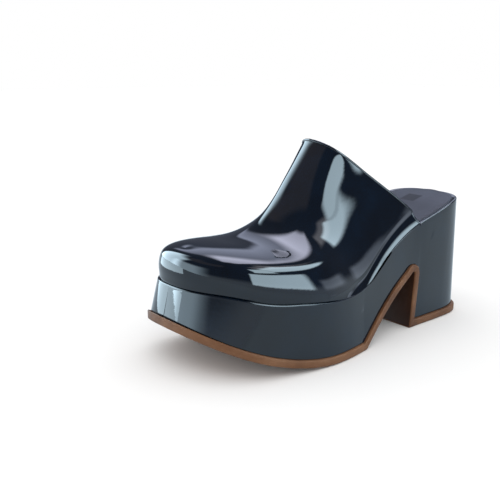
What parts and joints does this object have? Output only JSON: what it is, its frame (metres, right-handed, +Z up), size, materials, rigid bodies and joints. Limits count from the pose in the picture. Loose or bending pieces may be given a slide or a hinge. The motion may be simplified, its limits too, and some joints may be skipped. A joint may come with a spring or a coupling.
{
  "type": "platform mule",
  "caption": "Closed-toe platform mule in dark navy patent leather, left shoe, with a covered platform and block heel, an open arch and a tan sole",
  "frame": {"origin": "centre of the shoe's box in plan, on the floor that it stands on", "axes": "+Y from the toe to the heel, +X to the outer side of the foot, +Z up"},
  "size_m": [0.1047, 0.2444, 0.1309],
  "materials": {
    "sole_tan": "moulded tan sole, satin, slightly scuffed",
    "patent_navy": "near-black navy patent leather, mirror gloss",
    "insole_grey": "smooth dark blue-grey sock leather, soft sheen"
  },
  "bodies": {
    "root": {"outsole": "sole_tan", "platform": "patent_navy", "insole": "insole_grey", "upper": "patent_navy"}
  },
  "joints": []
}
